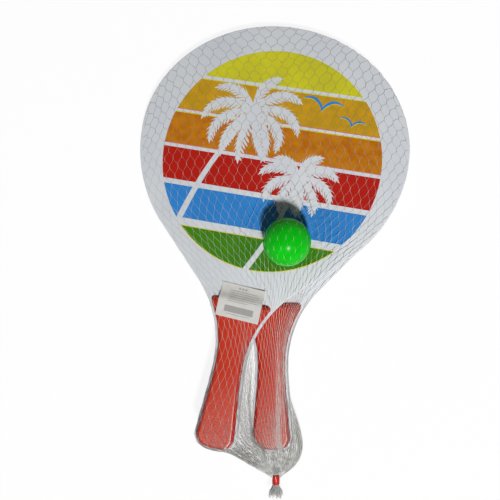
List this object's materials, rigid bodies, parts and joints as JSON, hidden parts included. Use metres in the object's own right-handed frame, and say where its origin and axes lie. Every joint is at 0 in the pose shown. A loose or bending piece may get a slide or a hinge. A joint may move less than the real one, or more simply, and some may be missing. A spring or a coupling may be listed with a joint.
{
  "type": "beach paddle set",
  "caption": "Flat wooden beach paddles with moulded grips and a printed sun, fanned one over the other with a small ball, packed in a tied net bag with a paper label.",
  "frame": {"origin": "centre of the bounding box, on the surface that the set lies on", "axes": "the set lies face up: +Z out of the front paddle's face, +Y from the tied neck to the tops of the heads along the rear paddle's handle, +X to the right as seen from the front"},
  "size_m": [0.2436, 0.4252, 0.0662],
  "materials": {
    "board": "white lacquer, satin",
    "grip": "moulded, satin",
    "print": "printed ink under clear lacquer, in yellow, gold, orange, red, blue and green bands",
    "ball": "smooth, glossy",
    "net": "thin white plastic thread",
    "tape": "satin",
    "label": "uncoated paper"
  },
  "bodies": {
    "root": {"rear_paddle_board": "board", "rear_paddle_grip_front": "grip", "rear_paddle_grip_back": "grip", "rear_paddle_print_front": "print", "rear_paddle_print_back": "print", "front_paddle_board": "board", "front_paddle_grip_front": "grip", "front_paddle_grip_back": "grip", "front_paddle_print_front": "print", "front_paddle_print_back": "print", "ball": "ball", "net_bag": "net", "net_gathered_neck": "net", "net_end_knot": "net", "neck_tape": "tape", "price_label": "label"}
  },
  "joints": []
}
